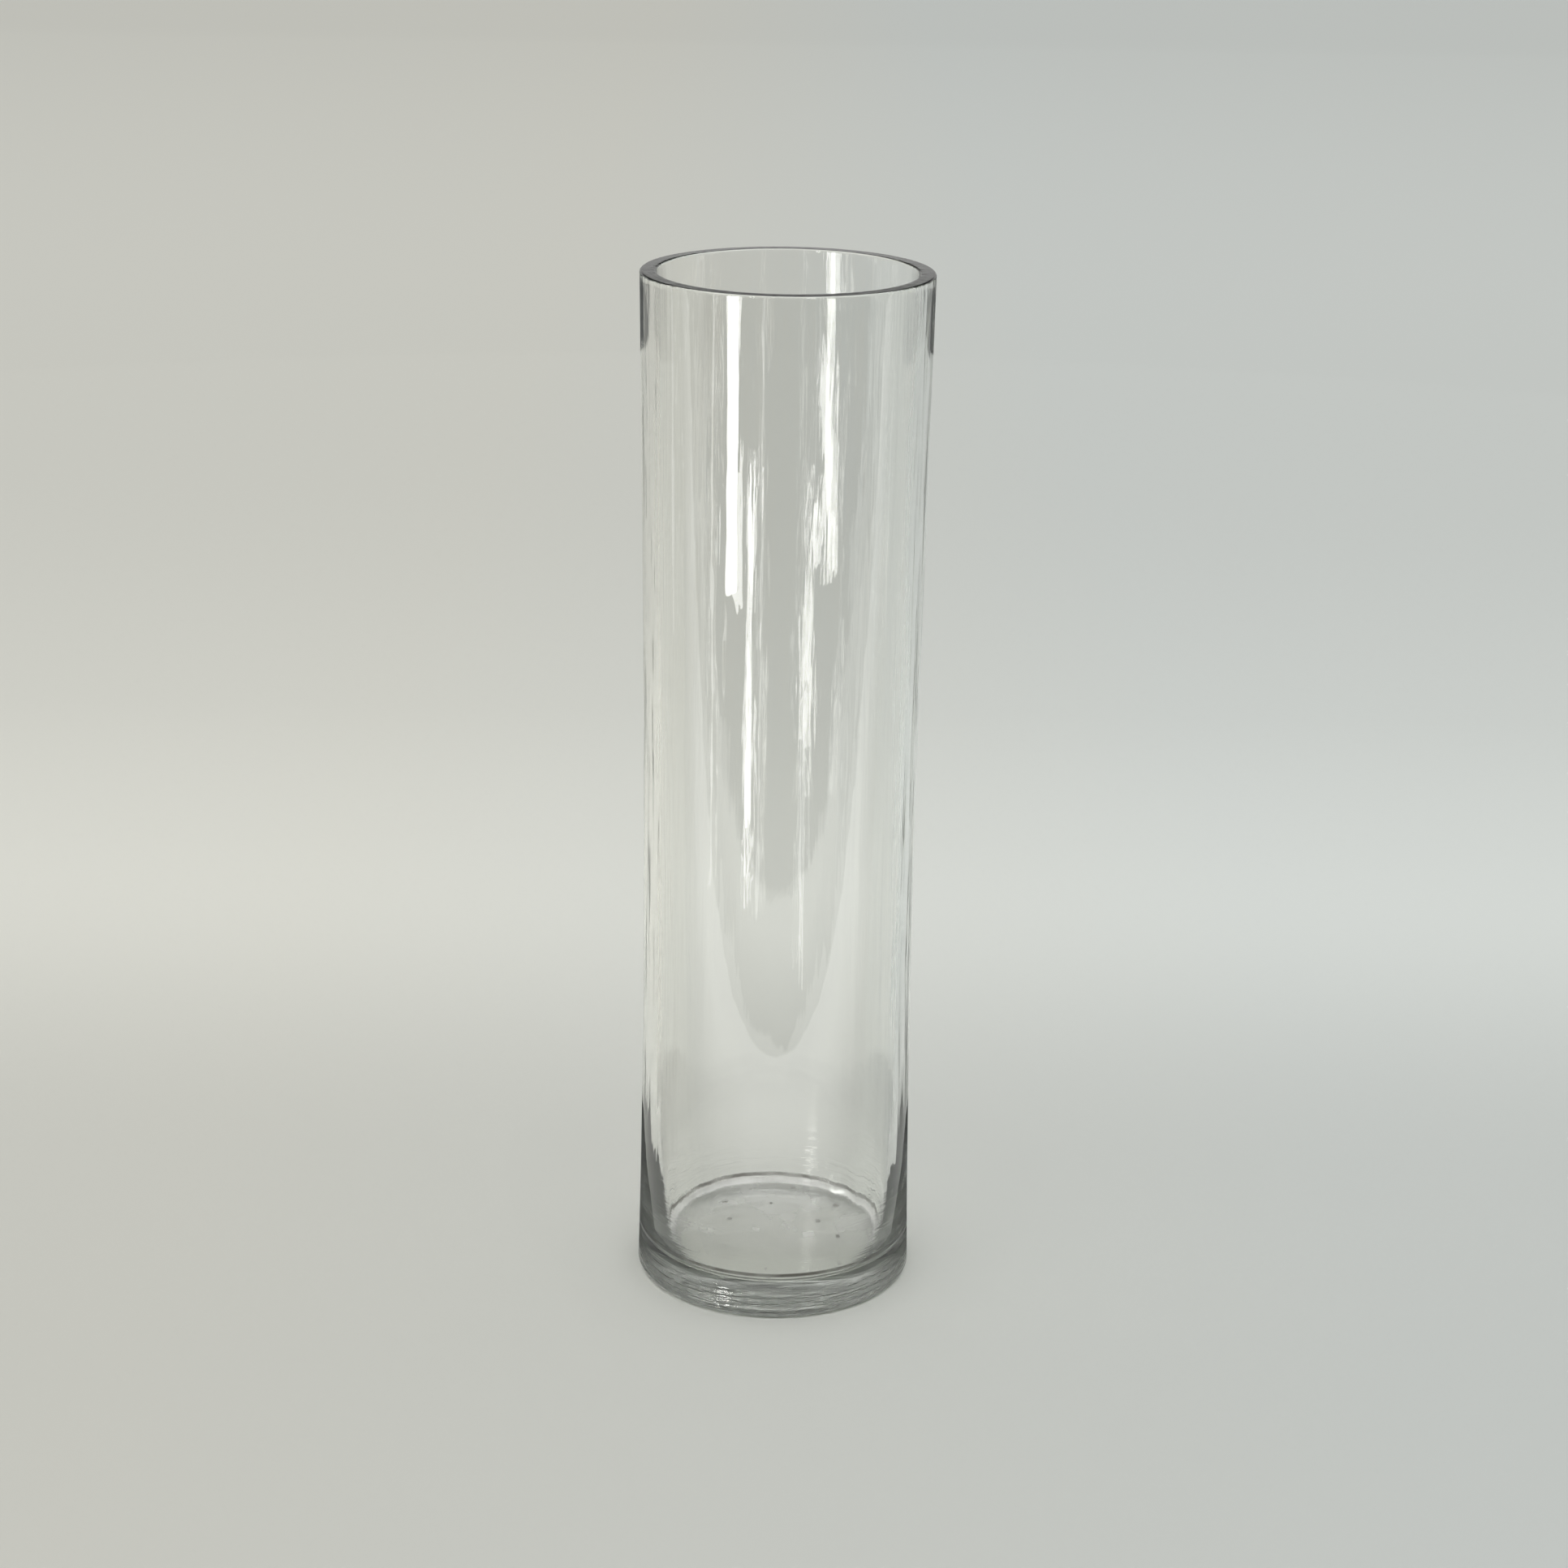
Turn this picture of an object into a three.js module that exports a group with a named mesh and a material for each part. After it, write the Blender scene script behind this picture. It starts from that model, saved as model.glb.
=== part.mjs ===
// A tall glass cylinder vase, blown in one piece with a thick solid base.
// Millimetres, +Z up. The origin is the middle of the foot, on the surface that the vase stands on.
//
// The glass is one continuous body. It is built here as its four forming zones, which meet face to
// face: the base slab, the corner ring that leads the inner floor into the wall, the long cylinder
// wall, and the cut and polished rim.
import * as THREE from "three";

// Driving dimensions
const height = 404;
const outerRadius = 55; // at the rim and at the heel
const waistDepth = 1.9; // how far the outside draws in at the waist
const waistSkew = 0.75; // under 1 puts the waist below the middle
const wallThickness = 6.2; // at the rim and down most of the wall
const footSwell = 3.6; // how much thicker the wall is where it meets the corner fillet
const swellReach = 15; // height over which that swelling dies away
const baseThickness = 12.2; // from the standing surface up to the inner floor
const shoulderDrop = 1.5; // the corner ring sits on a shoulder this far below the inner floor
const heelRadius = 2.6; // round edge between the outside and the underside
const bearingInnerRadius = 45.5; // the vase stands on a flat ring outside this radius
const puntDepth = 2; // how far the underside is hollowed within that ring
const cornerRadius = 3; // fillet between the inner floor and the wall
const cornerZone = 18; // height of the corner ring
const rimZone = 4; // height of the rim ring
const rimEdgeRadius = 0.9; // fire-polished edges of the lip

// Fineness of the faceted surfaces
const segmentsAround = 72;
const arcSteps = 6;
const cornerSteps = 4;
const wallSteps = 12;
const wallCrowding = 1.6; // over 1 puts more of the wall's steps near the foot
const puntSteps = 4;

// Levels and radii where the zones meet
const floorLevel = baseThickness;
const filletTop = floorLevel + cornerRadius;
const shoulderLevel = floorLevel - shoulderDrop;
const wallStart = shoulderLevel + cornerZone;
const rimStart = height - rimZone;
const floorRadius = innerAt(filletTop) - cornerRadius; // edge of the level inner floor

// Radius of the outside at height z, above the heel's round edge.
function outerAt(z) {
  const share = Math.pow((z - heelRadius) / (height - heelRadius), waistSkew);
  return outerRadius - waistDepth * Math.sin(Math.PI * share);
}

// Radius of the inside at height z, above the corner fillet.
function innerAt(z) {
  const swell = footSwell * Math.exp((filletTop - z) / swellReach);
  return outerAt(z) - wallThickness - swell;
}

// Points of a profile that follows radiusAt between two levels, both ends included.
function wallPoints(radiusAt, fromZ, toZ, steps, crowding = 1) {
  const points = [];
  for (let i = 0; i <= steps; i++) {
    const z = THREE.MathUtils.lerp(fromZ, toZ, Math.pow(i / steps, crowding));
    points.push(new THREE.Vector2(radiusAt(z), z));
  }
  return points;
}

// Points of a round edge in the profile, from one angle to another, both ends included.
function arcPoints(centreRadius, centreZ, radius, fromAngle, toAngle) {
  const points = [];
  for (let i = 0; i <= arcSteps; i++) {
    const angle = THREE.MathUtils.lerp(fromAngle, toAngle, i / arcSteps);
    const r = centreRadius + radius * Math.cos(angle);
    const z = centreZ + radius * Math.sin(angle);
    points.push(new THREE.Vector2(r, z));
  }
  return points;
}

// Shallow hollow under the foot, from the axis out to the bearing ring.
function puntPoints() {
  const points = [];
  for (let i = 0; i <= puntSteps; i++) {
    const share = i / puntSteps;
    points.push(new THREE.Vector2(share * bearingInnerRadius, puntDepth * (1 - share * share)));
  }
  return points;
}

// The solid base: hollowed underside, bearing ring, round heel, a short stretch of the outside, the
// shoulder under the corner ring, and the level inner floor.
function baseProfile() {
  const heelCentre = outerRadius - heelRadius;
  return [
    ...puntPoints(),
    ...arcPoints(heelCentre, heelRadius, heelRadius, -Math.PI / 2, 0),
    new THREE.Vector2(outerAt(shoulderLevel), shoulderLevel),
    new THREE.Vector2(floorRadius, shoulderLevel),
    new THREE.Vector2(floorRadius, floorLevel),
    new THREE.Vector2(0, floorLevel),
  ];
}

// The ring that leads the inner floor into the wall through a fillet and a long taper.
function cornerProfile() {
  const outside = wallPoints(outerAt, shoulderLevel, wallStart, cornerSteps);
  const inside = wallPoints(innerAt, wallStart, filletTop, cornerSteps).slice(0, -1);
  const fillet = arcPoints(floorRadius, filletTop, cornerRadius, 0, -Math.PI / 2);
  const shoulder = new THREE.Vector2(floorRadius, shoulderLevel);
  return closed([...outside, ...inside, ...fillet, shoulder]);
}

// The long wall, up the outside and down the inside.
function wallProfile() {
  const outside = wallPoints(outerAt, wallStart, rimStart, wallSteps, wallCrowding);
  const inside = wallPoints(innerAt, wallStart, rimStart, wallSteps, wallCrowding).reverse();
  return closed([...outside, ...inside]);
}

// The lip: a level top face between two small round edges.
function rimProfile() {
  const edgeLevel = height - rimEdgeRadius;
  const outerEdge = outerAt(edgeLevel) - rimEdgeRadius;
  const innerEdge = innerAt(edgeLevel) + rimEdgeRadius;
  return closed([
    new THREE.Vector2(outerAt(rimStart), rimStart),
    ...arcPoints(outerEdge, edgeLevel, rimEdgeRadius, 0, Math.PI / 2),
    ...arcPoints(innerEdge, edgeLevel, rimEdgeRadius, Math.PI / 2, Math.PI),
    new THREE.Vector2(innerAt(rimStart), rimStart),
  ]);
}

// A ring's profile, closed on its own first point.
function closed(points) {
  return [...points, points[0].clone()];
}

// Clear glass with a slight grey-green cast. The denser zones look a little darker.
function glass(colour) {
  return new THREE.MeshStandardMaterial({
    color: colour,
    roughness: 0.04,
    metalness: 0,
    transparent: true,
    opacity: 0.4,
  });
}

// Turns a profile of radius and height round the Z axis.
function turned(name, profile, material) {
  const geometry = new THREE.LatheGeometry(profile, segmentsAround);
  geometry.rotateX(Math.PI / 2); // the lathe turns round Y
  const mesh = new THREE.Mesh(geometry, material);
  mesh.name = name;
  return mesh;
}

const vase = new THREE.Group();
vase.name = "glass_cylinder_vase";
vase.add(
  turned("base_slab", baseProfile(), glass(0xb9c4bd)),
  turned("floor_corner_ring", cornerProfile(), glass(0xc8d1cb)),
  turned("cylinder_wall", wallProfile(), glass(0xdfe5e1)),
  turned("rim_ring", rimProfile(), glass(0xa9b3ad)),
);

export default vase;
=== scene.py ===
import math
import random

import bpy
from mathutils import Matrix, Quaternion, Vector, noise


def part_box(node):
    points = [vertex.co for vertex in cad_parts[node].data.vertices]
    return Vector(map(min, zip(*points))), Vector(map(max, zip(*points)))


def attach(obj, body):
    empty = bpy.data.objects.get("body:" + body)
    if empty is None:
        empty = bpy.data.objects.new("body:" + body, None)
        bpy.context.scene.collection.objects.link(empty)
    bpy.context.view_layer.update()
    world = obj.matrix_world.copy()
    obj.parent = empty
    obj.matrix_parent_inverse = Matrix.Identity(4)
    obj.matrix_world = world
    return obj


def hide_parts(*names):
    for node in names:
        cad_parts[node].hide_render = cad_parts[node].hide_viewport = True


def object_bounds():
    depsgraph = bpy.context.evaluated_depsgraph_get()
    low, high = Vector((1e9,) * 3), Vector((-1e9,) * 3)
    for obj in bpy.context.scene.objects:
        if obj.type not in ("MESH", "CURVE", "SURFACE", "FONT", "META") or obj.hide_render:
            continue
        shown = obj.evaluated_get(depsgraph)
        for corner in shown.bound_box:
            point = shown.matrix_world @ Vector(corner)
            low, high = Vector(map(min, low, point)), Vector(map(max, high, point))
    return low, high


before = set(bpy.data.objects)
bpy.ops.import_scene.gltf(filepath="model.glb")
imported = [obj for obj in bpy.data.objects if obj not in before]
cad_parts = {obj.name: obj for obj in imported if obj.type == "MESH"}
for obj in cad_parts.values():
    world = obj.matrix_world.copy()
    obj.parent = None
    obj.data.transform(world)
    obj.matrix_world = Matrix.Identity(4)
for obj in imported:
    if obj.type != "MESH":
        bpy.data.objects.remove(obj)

cad_low, cad_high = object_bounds()

# Sizes of the vessel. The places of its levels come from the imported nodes.
HEIGHT = cad_high.z
CAD_RADIUS = cad_high.x
SKIN = 0.00012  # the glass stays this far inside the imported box, to leave room for its ripples
OUTER_RADIUS = CAD_RADIUS - SKIN
WAIST_DEPTH = 0.0019
WAIST_SKEW = 0.75  # under 1 puts the waist below the middle
WALL = 0.0062
FOOT_SWELL = 0.0036
SWELL_REACH = 0.015
FLOOR_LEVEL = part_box("base_slab")[1].z
HEEL_RADIUS = 0.0026
BEARING_INNER_RADIUS = 0.0455
PUNT_DEPTH = 0.002
CORNER_RADIUS = 0.003
RIM_EDGE_RADIUS = 0.0009
FILLET_TOP = FLOOR_LEVEL + CORNER_RADIUS

# Fineness of the mesh
AROUND = 240
WALL_ROWS = 150
ARC_ROWS = 10
FLOOR_ROWS = 26
ROW_CROWDING = 1.3  # over 1 puts more of the wall's rows near the foot

# Waviness of blown glass: broad swells, and narrow cords drawn up the wall. First the depth of each,
# then its size across and along the wall.
OUTER_SWELLS = 0.00005
OUTER_CORDS = 0.000006
INNER_SWELLS = 0.00022
INNER_CORDS = 0.0001
SWELL_ACROSS = 0.045
SWELL_ALONG = 0.16
CORD_ACROSS = 0.0075
CORD_ALONG = 0.045
NOISE_GAIN = 1.5  # strengthens the noise before it is held between -1 and 1
OUTER_LAYER = 2.1  # the outside and the inside take their waviness from different layers of noise
INNER_LAYER = 7.3

# Where the waviness dies out: over the heel, under the rim, and towards the corner fillet, where these
# shares of it are left
HEEL_CALM = 0.004
RIM_CALM = 0.01
CALM_REACH = 0.03
CALM_SWELLS = 0.2
CALM_CORDS = 0.05

# Fine marks left round the foot where the mould chilled the glass
CORD_BUMP = 0.00009
CHILL_DEPTH = 0.0003
CHILL_TOP = 0.024
OUTER_CHILL = 6.5
INNER_CHILL = 5.0
MID_WALL = 0.051  # radius that lies within the wall at every height, to tell inside from outside

# Colours of the glass, and how fast it deepens with the path of light through it
GLASS_IOR = 1.52
GLASS_TINT = (0.735, 0.755, 0.73, 1.0)
GLASS_DENSITY = 18.0
SURFACE_TINT = (1.0, 1.0, 0.99, 1.0)
UNDERSIDE_SHADE_TINT = (0.96, 0.96, 0.95, 1.0)  # the underside is tinted a little darker: painted shade for the floor under the foot

# Inside the foot: dark specks of dirt, and a dark line painted as shade over the fillet, in one colour
GRIME_AND_SHADE = (0.10, 0.09, 0.075, 1.0)
GRIME_AND_SHADE_ROUGHNESS = 0.4
GRIME_AND_SHADE_COVER = 0.5
SHADE_LINE_LEVEL = FILLET_TOP + 0.0004  # the dark line painted as shade lies just over the fillet
SPECK_CELLS = 110.0

# Camera, fitted to the outline of the real vase
CAMERA_SIDE = 0.00154
CAMERA_BACK = 1.1969
CAMERA_HEIGHT = 0.6084
CAMERA_PITCH = 18.68
CAMERA_ROLL = 0.924
CAMERA_LENS = 74.53
SENSOR = 36.0
VIEW_START = 0.05
VIEW_END = 60.0

# The pale floor. Its tones go by distance behind the vase: painted light, brightest just behind the vase.
FLOOR_REACH = 14.0
FLOOR_GAP = 0.00015  # air that stays between the foot and the floor it stands on
FLOOR_NEAR = -0.5
FLOOR_FAR = 5.0
FLOOR_LIGHT_TONES = (
    (-0.3, 0.73),
    (0.1, 0.73),
    (0.22, 0.78),
    (0.36, 0.91),
    (0.5, 0.90),
    (0.75, 0.81),
    (1.34, 0.73),
    (2.5, 0.78),
    (4.7, 0.70),
)
FLOOR_WARM_LIGHT = (1.0, 1.0, 0.92, 1.0)  # painted warm light, to the left
FLOOR_COOL_LIGHT = (0.955, 0.995, 0.96, 1.0)  # painted cool light, to the right

# What the glass mirrors. Azimuths are in degrees and 0 faces the camera. Lifts are heights over the
# foot that keep the cards apart.
LAMP_WHITE = (1.0, 1.0, 0.98)
ROOM_REACH = 12.0
TABLE_EDGE = -0.315  # the lit table ends here in front of the vase, and the dim room begins
TABLE_START = -0.075
TABLE_LIFT = 0.001
ROOM_LIFT = 0.002
BACK_ROOM = 1.9
FLAG_START = 0.057
FLAG_EDGE = ((0, 0.085), (90, 0.09), (120, 0.13), (140, 0.17), (180, 0.19))  # azimuth, reach from the axis
FLAG_LIFT = 0.0006
GLOW_LIFT = 0.003
PATCH_LIFT = 0.004
SECTOR_STEPS = 8

# Narrow bright gaps between the room's blinds: azimuth, width in degrees, brightness
SLIVERS = (
    (-98.0, 1.5, 2.0),
    (90.0, 1.0, 2.0),
    (-57.0, 1.6, 4.0),
    (-17.0, 1.6, 2.5),
    (24.0, 1.0, 1.8),
)
SLIVER_AWAY = 0.95
WINDOW_TOP = 0.9
FRONT_SLIVERS = 60.0  # within this azimuth a gap also lays a patch of light on the table

# Light from the sky, by the sine of the elevation: pale at the horizon, dim over it, bright overhead
SKY = (
    (0.00, (0.56, 0.56, 0.55)),
    (0.17, (0.54, 0.54, 0.53)),
    (0.27, (0.18, 0.18, 0.175)),
    (0.33, (0.12, 0.12, 0.118)),
    (0.38, (0.04, 0.04, 0.04)),
    (0.44, (0.11, 0.11, 0.108)),
    (0.50, (0.03, 0.03, 0.03)),
    (0.58, (0.10, 0.10, 0.098)),
    (0.69, (1.36, 1.36, 1.35)),
    (0.88, (1.26, 1.26, 1.25)),
    (1.00, (0.68, 0.68, 0.68)),
)


# The vessel


def outer_at(z):
    """Radius of the outside at height z, above the heel's round edge."""
    share = max(0.0, (z - HEEL_RADIUS) / (HEIGHT - HEEL_RADIUS)) ** WAIST_SKEW
    return OUTER_RADIUS - WAIST_DEPTH * math.sin(math.pi * share)


def inner_at(z):
    """Radius of the inside at height z, above the corner fillet."""
    swell = FOOT_SWELL * math.exp((FILLET_TOP - z) / SWELL_REACH)
    return outer_at(z) - WALL - swell


def arc(centre_r, centre_z, radius, start, end, depths):
    """Profile points round an edge, from one angle to another in degrees."""
    points = []
    for i in range(ARC_ROWS + 1):
        angle = math.radians(start + (end - start) * i / ARC_ROWS)
        r = centre_r + radius * math.cos(angle)
        z = centre_z + radius * math.sin(angle)
        points.append((r, z, depths))
    return points


def wall_level(low, high, row):
    """Height of one of the wall's rows between two levels."""
    return low + (high - low) * (row / WALL_ROWS) ** ROW_CROWDING


def outer_depths(z, edge):
    """Depth of the swells and cords of the outside at height z. edge is where the rim starts to round."""
    calm = min(1.0, (z - HEEL_RADIUS) / HEEL_CALM, (edge - z) / RIM_CALM)
    return OUTER_SWELLS * calm, OUTER_CORDS * calm


def inner_depths(z, edge):
    """Depth of the swells and cords of the inside at height z. edge is where the rim starts to round."""
    under_rim = (edge - z) / RIM_CALM
    over_corner = (z - FILLET_TOP) / CALM_REACH
    swells = INNER_SWELLS * min(1.0, under_rim, CALM_SWELLS + over_corner)
    cords = INNER_CORDS * min(1.0, under_rim, CALM_CORDS + over_corner)
    return swells, cords


def vessel_profile():
    """(radius, height, (swells, cords)) points from the axis under the foot, round the outside, rim and
    inside, to the axis on the inner floor. The last pair is the depth of the waviness there."""
    flat = (0.0, 0.0)
    profile = []
    for i in range(FLOOR_ROWS):
        share = i / FLOOR_ROWS
        profile.append((share * BEARING_INNER_RADIUS, PUNT_DEPTH * (1 - share * share), flat))
    heel = OUTER_RADIUS - HEEL_RADIUS
    profile.append((BEARING_INNER_RADIUS, 0.0, flat))
    profile += arc(heel, HEEL_RADIUS, HEEL_RADIUS, -90, 0, flat)
    edge = HEIGHT - RIM_EDGE_RADIUS
    for row in range(1, WALL_ROWS):
        z = wall_level(HEEL_RADIUS, edge, row)
        profile.append((outer_at(z), z, outer_depths(z, edge)))
    profile += arc(outer_at(edge) - RIM_EDGE_RADIUS, edge, RIM_EDGE_RADIUS, 0, 90, flat)
    profile += arc(inner_at(edge) + RIM_EDGE_RADIUS, edge, RIM_EDGE_RADIUS, 90, 180, flat)
    for row in range(WALL_ROWS - 1, 0, -1):
        z = wall_level(FILLET_TOP, edge, row)
        profile.append((inner_at(z), z, inner_depths(z, edge)))
    floor_radius = inner_at(FILLET_TOP) - CORNER_RADIUS
    corner = (INNER_SWELLS * CALM_SWELLS, INNER_CORDS * CALM_CORDS)
    profile += arc(floor_radius, FILLET_TOP, CORNER_RADIUS, 0, -90, corner)
    for i in range(FLOOR_ROWS - 1, 0, -1):
        profile.append((floor_radius * i / FLOOR_ROWS, FLOOR_LEVEL, flat))
    profile.append((0.0, FLOOR_LEVEL, flat))
    return profile


def held(value):
    """Noise strengthened and held between -1 and 1."""
    return max(-1.0, min(1.0, NOISE_GAIN * value))


def waves(x, y, z, layer, swells, cords):
    """How far the surface wanders in or out at a place, for swells and cords of the given depths."""
    broad = noise.noise(Vector((x / SWELL_ACROSS, y / SWELL_ACROSS, z / SWELL_ALONG + layer)))
    fine = noise.noise(Vector((x / CORD_ACROSS, y / CORD_ACROSS, z / CORD_ALONG - layer)))
    return swells * held(broad) + cords * held(fine)


def ring_vertices(r, z, depths, layer):
    """One wavy ring of the vessel."""
    vertices = []
    for k in range(AROUND):
        angle = 2 * math.pi * k / AROUND
        x = r * math.cos(angle)
        y = r * math.sin(angle)
        grown = r + waves(x, y, z, layer, *depths)
        vertices.append((grown * math.cos(angle), grown * math.sin(angle), z))
    return vertices


def revolve(name, profile):
    """A closed mesh turned round Z from profile, whose first and last points are on the axis."""
    rings = profile[1:-1]
    vertices = [(0.0, 0.0, profile[0][1])]
    for row, (r, z, depths) in enumerate(rings):
        layer = INNER_LAYER if row > len(rings) / 2 else OUTER_LAYER
        vertices += ring_vertices(r, z, depths, layer)
    vertices.append((0.0, 0.0, profile[-1][1]))
    last = len(vertices) - 1
    top = 1 + (len(rings) - 1) * AROUND
    faces = []
    for k in range(AROUND):
        following = (k + 1) % AROUND
        faces.append((0, 1 + following, 1 + k))
        faces.append((last, top + k, top + following))
        for row in range(len(rings) - 1):
            a = 1 + row * AROUND
            b = a + AROUND
            faces.append((a + k, a + following, b + following, b + k))
    mesh = bpy.data.meshes.new(name)
    mesh.from_pydata(vertices, [], faces)
    mesh.validate()
    mesh.shade_smooth()
    piece = bpy.data.objects.new(name, mesh)
    bpy.context.scene.collection.objects.link(piece)
    return piece


# Nodes that the materials share


def new_material(name):
    """An empty node material with its output node."""
    material = bpy.data.materials.new(name)
    material.use_nodes = True
    material.node_tree.nodes.clear()
    output = material.node_tree.nodes.new("ShaderNodeOutputMaterial")
    return material, material.node_tree, output


def stretched(tree, along):
    """Object coordinates with Z scaled by along. Under 1 draws a pattern out up the wall, over 1 lays it
    round the wall."""
    coordinates = tree.nodes.new("ShaderNodeTexCoord")
    mapping = tree.nodes.new("ShaderNodeMapping")
    mapping.inputs["Scale"].default_value = (1.0, 1.0, along)
    tree.links.new(coordinates.outputs["Object"], mapping.inputs["Vector"])
    return mapping.outputs["Vector"]


def place(tree):
    """The place on the surface in metres, as the sockets X, Y and Z."""
    coordinates = tree.nodes.new("ShaderNodeTexCoord")
    split = tree.nodes.new("ShaderNodeSeparateXYZ")
    tree.links.new(coordinates.outputs["Object"], split.inputs["Vector"])
    return split.outputs


def combine(tree, operation, first, second):
    """A math node of two values; the second may be a plain number."""
    node = tree.nodes.new("ShaderNodeMath")
    node.operation = operation
    tree.links.new(first, node.inputs[0])
    if isinstance(second, float):
        node.inputs[1].default_value = second
    else:
        tree.links.new(second, node.inputs[1])
    return node.outputs["Value"]


def height_and_radius(tree):
    """Height over the foot and distance from the axis, as two values."""
    spot = place(tree)
    across = combine(tree, "MULTIPLY", spot["X"], spot["X"])
    deep = combine(tree, "MULTIPLY", spot["Y"], spot["Y"])
    radius = combine(tree, "POWER", combine(tree, "ADD", across, deep), 0.5)
    return spot["Z"], radius


def remap(tree, value, start, end, low, high):
    """low where value is at start, high where it is at end, even between them and held outside."""
    node = tree.nodes.new("ShaderNodeMapRange")
    node.clamp = True
    tree.links.new(value, node.inputs["Value"])
    node.inputs["From Min"].default_value = start
    node.inputs["From Max"].default_value = end
    node.inputs["To Min"].default_value = low
    node.inputs["To Max"].default_value = high
    return node.outputs["Result"]


def band(tree, value, low, high, soft):
    """1 where value is between low and high, falling to 0 over soft on each side."""
    rise = remap(tree, value, start=low - soft, end=low, low=0.0, high=1.0)
    fall = remap(tree, value, start=high, end=high + soft, low=1.0, high=0.0)
    return combine(tree, "MULTIPLY", rise, fall)


def noise_field(tree, vector, scale, detail, roughness=0.5):
    """A noise texture's value over vector."""
    field = tree.nodes.new("ShaderNodeTexNoise")
    field.inputs["Scale"].default_value = scale
    field.inputs["Detail"].default_value = detail
    field.inputs["Roughness"].default_value = roughness
    tree.links.new(vector, field.inputs["Vector"])
    return field.outputs["Fac"]


def bump(tree, height, distance, below=None):
    """A bump node over height, on top of another bump's normal."""
    node = tree.nodes.new("ShaderNodeBump")
    node.inputs["Distance"].default_value = distance
    node.inputs["Strength"].default_value = 1.0
    tree.links.new(height, node.inputs["Height"])
    if below is not None:
        tree.links.new(below, node.inputs["Normal"])
    return node.outputs["Normal"]


def blend(tree, factor, first, second):
    """A colour mix by factor; each colour is a socket or plain values."""
    node = tree.nodes.new("ShaderNodeMix")
    node.data_type = "RGBA"
    tree.links.new(factor, node.inputs["Factor"])
    for letter, colour in (("A", first), ("B", second)):
        socket = next(s for s in node.inputs if s.name == letter and s.type == "RGBA")
        if isinstance(colour, tuple):
            socket.default_value = colour
        else:
            tree.links.new(colour, socket)
    return next(s for s in node.outputs if s.type == "RGBA")


def fill_ramp(ramp, stops):
    """Gives a new colour ramp its (position, colour) stops."""
    elements = ramp.color_ramp.elements
    while len(elements) < len(stops):
        elements.new(0.5)
    for element, (position, colour) in zip(elements, stops):
        element.position = position
        element.color = (*colour, 1.0)


# The glass


def pale_film_and_highlight(tree, height, on_floor, patchy):
    """A patchy pale patch painted in the corner fillet as a highlight, fainter in front, with a faint pale
    trace on the floor.
    """
    corner = band(tree, height, low=FLOOR_LEVEL + 0.0004, high=FILLET_TOP - 0.0003, soft=0.0006)
    behind = remap(tree, place(tree)["Y"], start=-0.03, end=-0.005, low=0.12, high=1.0)
    # the highlight is painted mostly behind the axis, where the bright crescent lies
    corner = combine(tree, "MULTIPLY", corner, behind)
    in_corner = remap(tree, patchy, start=0.35, end=0.60, low=0.50, high=0.80)
    over_floor = remap(tree, patchy, start=0.30, end=0.70, low=0.01, high=0.05)
    return combine(
        tree,
        "ADD",
        combine(tree, "MULTIPLY", corner, in_corner),
        combine(tree, "MULTIPLY", on_floor, over_floor),
    )


def painted_shade_line(tree, height, patchy):
    """A dark line painted as shade just over the corner fillet, stronger in some places."""
    line = band(tree, height, low=SHADE_LINE_LEVEL - 0.0005, high=SHADE_LINE_LEVEL + 0.0006, soft=0.0004)
    strength = remap(tree, patchy, start=0.36, end=0.56, low=0.6, high=1.0)
    return combine(tree, "MULTIPLY", line, strength)


def dark_specks(tree, on_floor):
    """Dark specks of uneven size on the inner floor, in about half the cells of a cell pattern."""
    cells = tree.nodes.new("ShaderNodeTexVoronoi")
    cells.voronoi_dimensions = "2D"
    cells.inputs["Scale"].default_value = SPECK_CELLS
    tree.links.new(stretched(tree, 1.0), cells.inputs["Vector"])
    draw = tree.nodes.new("ShaderNodeSeparateXYZ")
    tree.links.new(cells.outputs["Color"], draw.inputs["Vector"])
    size = remap(tree, draw.outputs["X"], start=0.5, end=1.0, low=0.0, high=0.14)
    within = combine(tree, "SUBTRACT", size, cells.outputs["Distance"])
    speck = remap(tree, within, start=0.0, end=0.02, low=0.0, high=0.8)
    return combine(tree, "MULTIPLY", speck, on_floor)


def residue_and_painted_light(tree):
    """Masks inside the foot: the pale patch painted as a highlight in the corner, and the dark line painted
    as shade together with the dark specks of dirt.
    """
    height, radius = height_and_radius(tree)
    inside = band(tree, radius, low=0.0, high=inner_at(FILLET_TOP) + 0.0012, soft=0.0002)
    on_floor = band(tree, height, low=FLOOR_LEVEL - 0.0002, high=FLOOR_LEVEL + 0.0002, soft=0.0003)
    patchy = noise_field(tree, stretched(tree, 1.0), scale=60.0, detail=4.0)
    film_and_highlight = pale_film_and_highlight(tree, height, on_floor, patchy)
    dark = combine(tree, "MAXIMUM", painted_shade_line(tree, height, patchy), dark_specks(tree, on_floor))
    return combine(tree, "MULTIPLY", film_and_highlight, inside), combine(tree, "MULTIPLY", dark, inside)


def drawn_cords(tree, height, inside):
    """Cords drawn up the wall and finer threads inside, both dying out towards the foot."""
    cords = noise_field(tree, stretched(tree, 0.09), scale=150.0, detail=2.0)
    cord_share = remap(tree, height, start=0.01, end=0.10, low=0.25, high=1.0)
    cords = combine(tree, "MULTIPLY", cords, cord_share)
    threads = noise_field(tree, stretched(tree, 0.05), scale=300.0, detail=2.0)
    thread_share = remap(tree, height, start=0.03, end=0.15, low=0.0, high=1.8)
    threads = combine(tree, "MULTIPLY", threads, thread_share)
    return combine(tree, "ADD", cords, combine(tree, "MULTIPLY", threads, inside))


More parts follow.
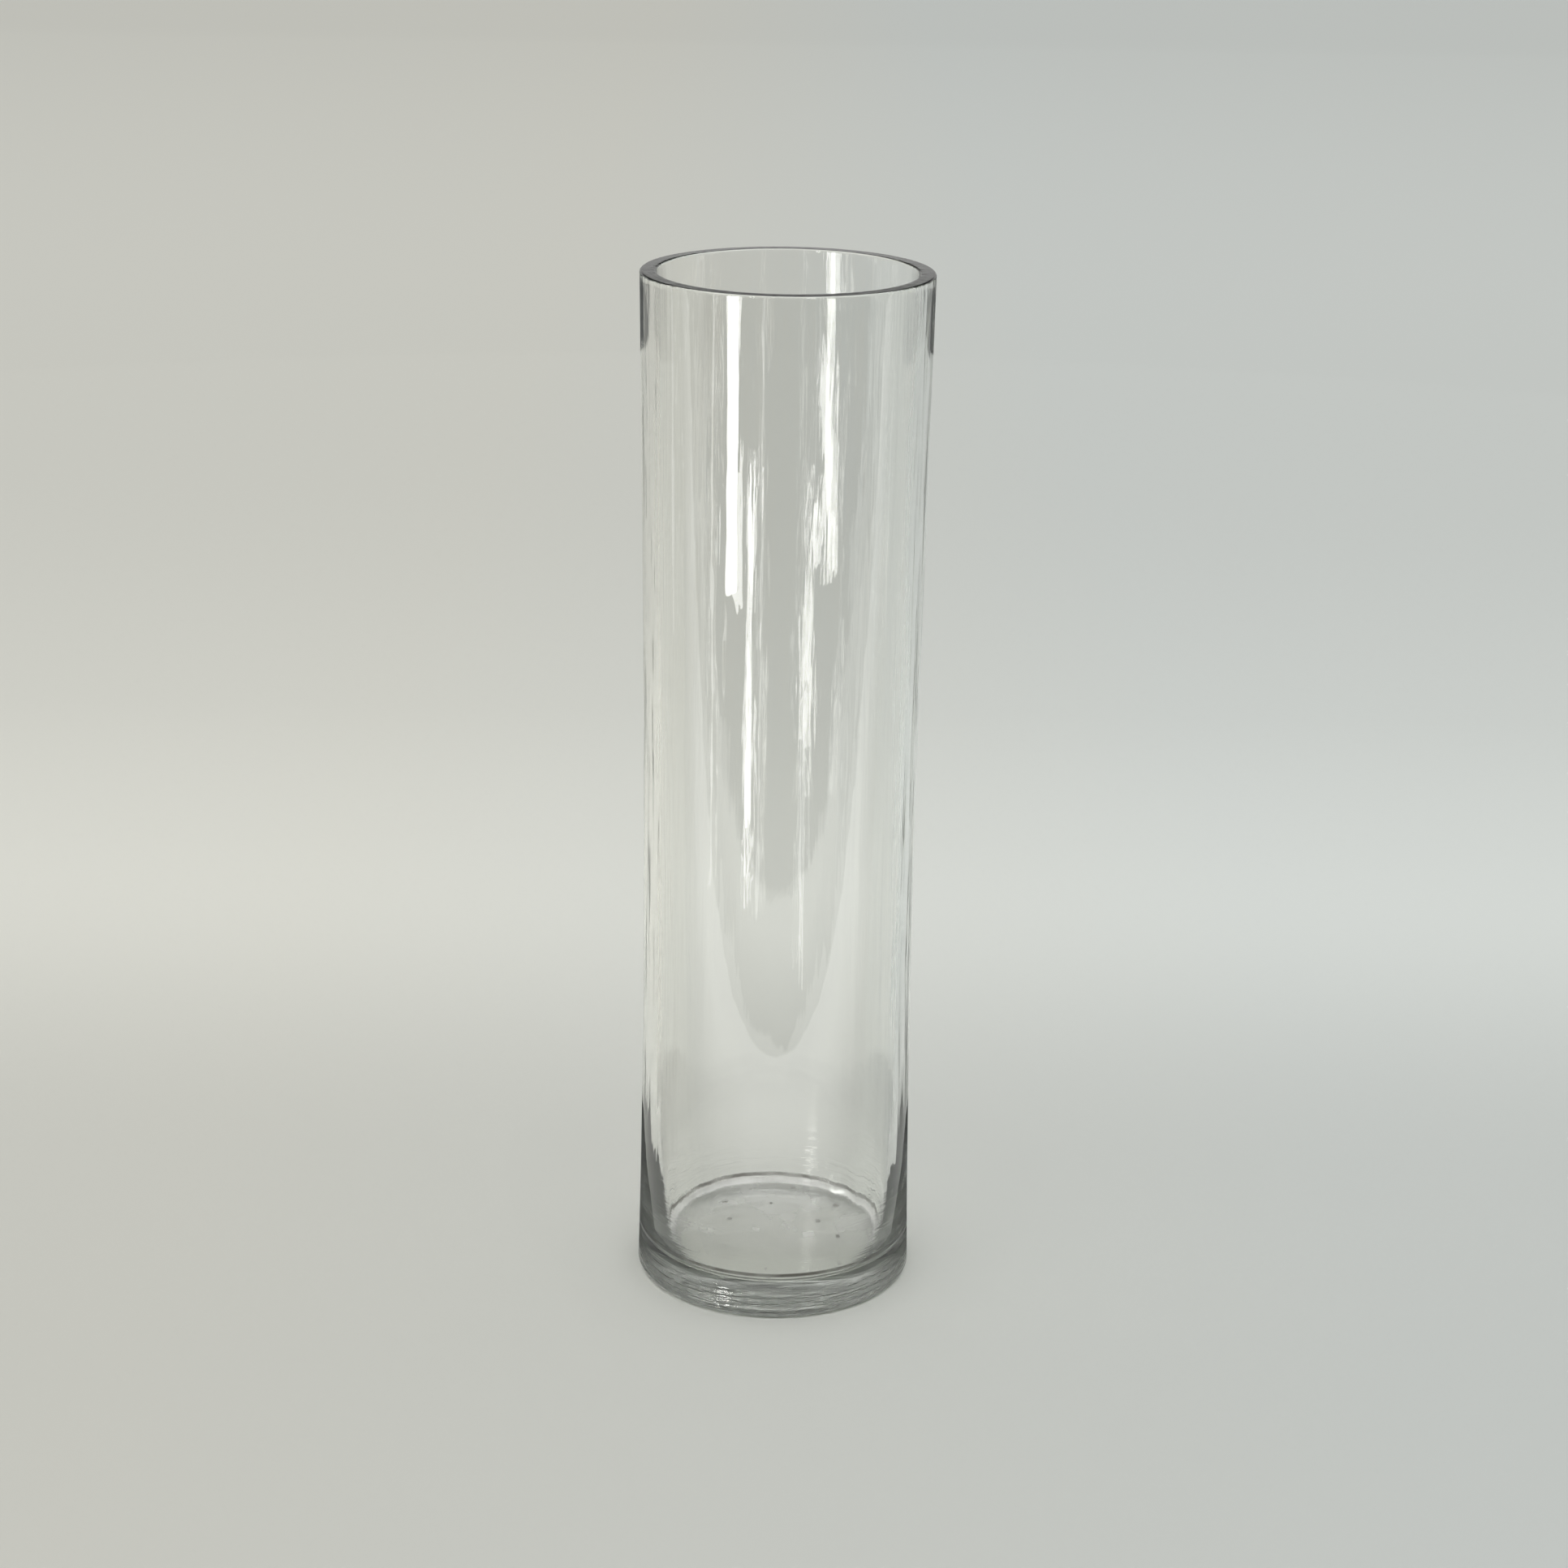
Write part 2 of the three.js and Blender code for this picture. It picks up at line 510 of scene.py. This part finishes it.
def chill_marks(tree, height, inside):
    """Level marks round the foot: outside at the base, and inside over the floor, mostly behind."""
    marks = noise_field(tree, stretched(tree, 13.0), scale=34.0, detail=3.0, roughness=0.6)
    outside = remap(tree, inside, start=0.0, end=1.0, low=1.0, high=0.0)
    at_base = remap(tree, height, start=0.3 * CHILL_TOP, end=0.6 * CHILL_TOP, low=1.0, high=0.0)
    at_base = combine(tree, "MULTIPLY", combine(tree, "MULTIPLY", at_base, outside), OUTER_CHILL)
    over_floor = remap(tree, height, start=FILLET_TOP, end=2.2 * CHILL_TOP, low=INNER_CHILL, high=0.0)
    behind = remap(tree, place(tree)["Y"], start=0.0, end=0.03, low=0.1, high=1.0)
    over_floor = combine(tree, "MULTIPLY", over_floor, combine(tree, "MULTIPLY", behind, inside))
    off_floor = remap(tree, height, start=FILLET_TOP - 0.001, end=FILLET_TOP + 0.001, low=0.0, high=1.0)
    over_floor = combine(tree, "MULTIPLY", over_floor, off_floor)
    return combine(tree, "MULTIPLY", marks, combine(tree, "ADD", at_base, over_floor))


def glass_normal(tree):
    """The normal of glass: cords and threads up the wall, and chill marks round the foot."""
    height, radius = height_and_radius(tree)
    inside = remap(tree, radius, start=MID_WALL - 0.001, end=MID_WALL + 0.001, low=1.0, high=0.0)
    drawn = bump(tree, drawn_cords(tree, height, inside), CORD_BUMP)
    return bump(tree, chill_marks(tree, height, inside), CHILL_DEPTH, below=drawn)


def glass_material():
    """Clear soda-lime glass: a slight grey-green cast by depth, drawn cords up the wall, faint smudges, an
    underside tinted a little darker as painted shade, and inside the foot a pale patch painted as a
    highlight, a dark line painted as shade and dark specks of dirt."""
    material, tree, output = new_material("clear_glass")
    glass = tree.nodes.new("ShaderNodeBsdfPrincipled")
    glass.inputs["IOR"].default_value = GLASS_IOR
    tree.links.new(glass_normal(tree), glass.inputs["Normal"])
    film_and_highlight, dark = residue_and_painted_light(tree)
    smudges = noise_field(tree, stretched(tree, 1.0), scale=22.0, detail=5.0, roughness=0.6)
    rough = remap(tree, smudges, start=0.52, end=0.75, low=0.0, high=0.035)
    rough = combine(tree, "ADD", rough, combine(tree, "MULTIPLY", dark, GRIME_AND_SHADE_ROUGHNESS))
    tree.links.new(rough, glass.inputs["Roughness"])
    # the glass is clouded where the highlight is painted in the corner, and where the painted shade line and
    # the specks of dirt lie
    cover = combine(tree, "MAXIMUM", film_and_highlight, combine(tree, "MULTIPLY", dark, GRIME_AND_SHADE_COVER))
    clear = remap(tree, cover, start=0.0, end=1.0, low=1.0, high=0.0)
    tree.links.new(clear, glass.inputs["Transmission Weight"])
    height, radius = height_and_radius(tree)
    # the underside is tinted a little darker as painted shade under the foot
    under = band(tree, height, low=-PUNT_DEPTH, high=PUNT_DEPTH, soft=0.0003)
    within = band(tree, radius, low=-1.0, high=OUTER_RADIUS - 0.002, soft=0.002)
    under = combine(tree, "MULTIPLY", under, within)
    tint = blend(tree, under, SURFACE_TINT, UNDERSIDE_SHADE_TINT)
    # the dark line darkens the colour as painted shade, the specks as dirt
    tree.links.new(blend(tree, dark, tint, GRIME_AND_SHADE), glass.inputs["Base Color"])
    depth = tree.nodes.new("ShaderNodeVolumeAbsorption")
    depth.inputs["Color"].default_value = GLASS_TINT
    depth.inputs["Density"].default_value = GLASS_DENSITY
    tree.links.new(glass.outputs["BSDF"], output.inputs["Surface"])
    tree.links.new(depth.outputs["Volume"], output.inputs["Volume"])
    return material


# The floor, and the cards that only the glass mirrors


def floor_material():
    """A pale floor with painted light: a little brighter just behind the vase, warmer to the left, cooler to
    the right.
    """
    material, tree, output = new_material("pale_floor")
    surface = tree.nodes.new("ShaderNodeBsdfPrincipled")
    surface.inputs["Roughness"].default_value = 0.9
    surface.inputs["Specular IOR Level"].default_value = 0.1
    spot = place(tree)
    # painted light: the floor's colour is brighter where light falls behind the vase
    tones = tree.nodes.new("ShaderNodeValToRGB")
    tones.color_ramp.interpolation = "B_SPLINE"
    stops = []
    for distance, tone in FLOOR_LIGHT_TONES:
        stops.append(((distance - FLOOR_NEAR) / (FLOOR_FAR - FLOOR_NEAR), (tone, tone, tone)))
    fill_ramp(tones, stops)
    away = remap(tree, spot["Y"], start=FLOOR_NEAR, end=FLOOR_FAR, low=0.0, high=1.0)
    tree.links.new(away, tones.inputs["Fac"])
    # painted light: warm to the left, cool to the right
    side = remap(tree, spot["X"], start=-0.25, end=0.25, low=0.0, high=1.0)
    coloured = tree.nodes.new("ShaderNodeVectorMath")
    coloured.operation = "MULTIPLY"
    tree.links.new(tones.outputs["Color"], coloured.inputs[0])
    tree.links.new(blend(tree, side, FLOOR_WARM_LIGHT, FLOOR_COOL_LIGHT), coloured.inputs[1])
    tree.links.new(coloured.outputs["Vector"], surface.inputs["Base Color"])
    tree.links.new(surface.outputs["BSDF"], output.inputs["Surface"])
    return material


def reflected_only_material(name, colour, strength, through_foot=False, fade=None):
    """A studio card that shows only in reflections, and if wanted through one thickness of solid glass: to
    all other light it isn't there. A fade is (y, strength there, y of full strength)."""
    material, tree, output = new_material(name)
    path = tree.nodes.new("ShaderNodeLightPath")
    seen = path.outputs["Glossy Depth"]
    if through_foot:
        solid = band(tree, path.outputs["Transmission Depth"], low=1.9, high=2.1, soft=0.2)
        seen = combine(tree, "ADD", seen, solid)
    clear = tree.nodes.new("ShaderNodeBsdfTransparent")
    glow = tree.nodes.new("ShaderNodeEmission")
    glow.inputs["Color"].default_value = (*colour, 1.0)
    glow.inputs["Strength"].default_value = strength
    if fade is not None:
        start, low, end = fade
        faded = remap(tree, place(tree)["Y"], start=start, end=end, low=low, high=strength)
        tree.links.new(faded, glow.inputs["Strength"])
    mix = tree.nodes.new("ShaderNodeMixShader")
    tree.links.new(seen, mix.inputs["Fac"])
    tree.links.new(clear.outputs["BSDF"], mix.inputs[1])
    tree.links.new(glow.outputs["Emission"], mix.inputs[2])
    tree.links.new(mix.outputs["Shader"], output.inputs["Surface"])
    material.cycles.emission_sampling = "NONE"
    return material


def stage_card(name, corners, faces, material):
    """A flat piece of the stage, which isn't part of the vase."""
    mesh = bpy.data.meshes.new(name)
    mesh.from_pydata(corners, [], faces)
    card = bpy.data.objects.new(name, mesh)
    card.data.materials.append(material)
    bpy.context.scene.collection.objects.link(card)


def strip(name, front, back, reach, lift, material):
    """A level stage card from front to back along Y, as wide as reach on each side."""
    corners = [(-reach, front, lift), (reach, front, lift), (reach, back, lift), (-reach, back, lift)]
    stage_card(name, corners, [(0, 1, 2, 3)], material)


def sector(name, near, far, azimuths, lift, material):
    """A level stage card, a piece of a ring round the vase. far is the outer radius at each end."""
    inner_edge = []
    outer_edge = []
    for i in range(SECTOR_STEPS + 1):
        share = i / SECTOR_STEPS
        turn = math.radians(azimuths[0] + (azimuths[1] - azimuths[0]) * share)
        reach = far[0] + (far[1] - far[0]) * share
        inner_edge.append((near * math.sin(turn), -near * math.cos(turn), lift))
        outer_edge.append((reach * math.sin(turn), -reach * math.cos(turn), lift))
    last = 2 * SECTOR_STEPS + 1
    faces = [(i, i + 1, last - i - 1, last - i) for i in range(SECTOR_STEPS)]
    stage_card(name, inner_edge + outer_edge[::-1], faces, material)


def upright(name, azimuth, width, distance, material):
    """An upright stage card that stands on the floor and faces the vase."""
    ends = []
    for degrees in (azimuth - width / 2, azimuth + width / 2):
        turn = math.radians(degrees)
        ends.append((distance * math.sin(turn), -distance * math.cos(turn)))
    (x0, y0), (x1, y1) = ends
    corners = [(x0, y0, 0), (x1, y1, 0), (x1, y1, WINDOW_TOP), (x0, y0, WINDOW_TOP)]
    stage_card(name, corners, [(0, 1, 2, 3)], material)


def add_dim_room():
    """The lit table in front of the vase, and the dim room in front of that and far behind."""
    dim = reflected_only_material("dim_room", (0.30, 0.31, 0.31), 0.30)
    lit = reflected_only_material("lit_table", LAMP_WHITE, 1.7, fade=(-0.10, 0.5, -0.24))
    strip("table_front", TABLE_EDGE, TABLE_START, ROOM_REACH, TABLE_LIFT, lit)
    strip("room_front", -ROOM_REACH, TABLE_EDGE, ROOM_REACH, ROOM_LIFT, dim)
    sector("room_back", BACK_ROOM, (ROOM_REACH, ROOM_REACH), (150, 210), ROOM_LIFT, dim)


def add_flags():
    """Dark flags on the floor close round the foot, wider behind it."""
    flag = reflected_only_material("dark_flag", (0.30, 0.31, 0.30), 0.22, through_foot=True)
    for k, ((start, near_reach), (end, far_reach)) in enumerate(zip(FLAG_EDGE, FLAG_EDGE[1:])):
        for side, sign in (("left", -1), ("right", 1)):
            azimuths = (sign * start, sign * end)
            sector(f"flag_{side}_{k}", FLAG_START, (near_reach, far_reach), azimuths, FLAG_LIFT, flag)


def add_window():
    """The bright window to the left, down to the floor."""
    window = reflected_only_material("window_main", LAMP_WHITE, 14.0)
    upright("window_main", azimuth=-41.0, width=9.0, distance=1.05, material=window)


def add_slivers(chance):
    """Narrow gaps between blinds, and the light that the front ones lay on the table."""
    for k, (azimuth, width, strength) in enumerate(SLIVERS):
        name = f"sliver_{k}"
        glow = reflected_only_material(name, LAMP_WHITE, strength)
        upright(name, azimuth, width, SLIVER_AWAY, glow)
        if abs(azimuth) < FRONT_SLIVERS:
            near = chance.uniform(0.45, 0.7)
            azimuths = (azimuth - width / 2, azimuth + width / 2)
            sector(name + "_patch", near, (SLIVER_AWAY, SLIVER_AWAY), azimuths, PATCH_LIFT, glow)


def add_table_glow(name, chance, count, start, step, width, strength, near, far):
    """Narrow patches of light side by side on the table. The brightness and the near and far ends of each
    are drawn from the given ranges."""
    for k in range(count):
        label = f"{name}_{k}"
        glow = reflected_only_material(label, LAMP_WHITE, chance.uniform(*strength))
        near_end = chance.uniform(*near)
        far_end = chance.uniform(*far)
        azimuth = start + step * k
        sector(label, near_end, (far_end, far_end), (azimuth, azimuth + width), GLOW_LIFT, glow)


def add_room():
    """What the glass mirrors: a dim room beyond the lit table, dark flags beside the foot, and bright
    windows down to the floor with their light lying on the table."""
    add_dim_room()
    add_flags()
    add_window()
    chance = random.Random(4)
    add_slivers(chance)
    add_table_glow(
        "table_light",
        chance,
        count=5,
        start=-28.0,
        step=0.9,
        width=0.75,
        strength=(7.0, 16.0),
        near=(0.48, 0.64),
        far=(1.2, 1.45),
    )
    add_table_glow(
        "table_glint",
        chance,
        count=3,
        start=16.0,
        step=1.4,
        width=0.7,
        strength=(2.0, 5.0),
        near=(0.38, 0.46),
        far=(0.7, 0.9),
    )


# Light and camera


def add_world():
    """Soft light from all round."""
    world = bpy.data.worlds.new("soft_studio")
    bpy.context.scene.world = world
    world.use_nodes = True
    tree = world.node_tree
    tree.nodes.clear()
    output = tree.nodes.new("ShaderNodeOutputWorld")
    background = tree.nodes.new("ShaderNodeBackground")
    coordinates = tree.nodes.new("ShaderNodeTexCoord")
    split = tree.nodes.new("ShaderNodeSeparateXYZ")
    ramp = tree.nodes.new("ShaderNodeValToRGB")
    fill_ramp(ramp, SKY)
    tree.links.new(coordinates.outputs["Generated"], split.inputs["Vector"])
    tree.links.new(split.outputs["Z"], ramp.inputs["Fac"])
    tree.links.new(ramp.outputs["Color"], background.inputs["Color"])
    tree.links.new(background.outputs["Background"], output.inputs["Surface"])


def add_camera():
    """The camera at the photograph's angle."""
    data = bpy.data.cameras.new("camera")
    data.sensor_width = SENSOR
    data.lens = CAMERA_LENS
    data.clip_start = VIEW_START
    data.clip_end = VIEW_END
    camera = bpy.data.objects.new("camera", data)
    camera.location = (CAMERA_SIDE, -CAMERA_BACK, CAMERA_HEIGHT)
    camera.rotation_mode = "QUATERNION"
    pitch = math.radians(CAMERA_PITCH)
    look = Vector((0.0, math.cos(pitch), -math.sin(pitch)))
    level = look.to_track_quat("-Z", "Y")
    roll = Quaternion(Vector((0.0, 0.0, 1.0)), math.radians(CAMERA_ROLL))
    camera.rotation_quaternion = level @ roll
    bpy.context.scene.collection.objects.link(camera)
    bpy.context.scene.camera = camera


def set_light_paths():
    """Enough bounces for light that runs down inside the wall, and a plain view of the colours."""
    glass_bounces = 48
    scene = bpy.context.scene
    cycles = scene.cycles
    cycles.max_bounces = glass_bounces
    cycles.transmission_bounces = glass_bounces
    cycles.glossy_bounces = glass_bounces
    cycles.diffuse_bounces = 3
    cycles.transparent_max_bounces = 32
    cycles.caustics_reflective = True
    cycles.caustics_refractive = True
    cycles.blur_glossy = 0.0
    cycles.use_denoising = True
    scene.view_settings.view_transform = "Standard"


add_camera()
vessel = revolve("glass_vessel", vessel_profile())
vessel.data.materials.append(glass_material())
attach(vessel, "root")
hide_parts("base_slab", "floor_corner_ring", "cylinder_wall", "rim_ring")

strip("pale_floor", -FLOOR_REACH, FLOOR_REACH, FLOOR_REACH, -FLOOR_GAP, floor_material())
add_room()
add_world()
set_light_paths()
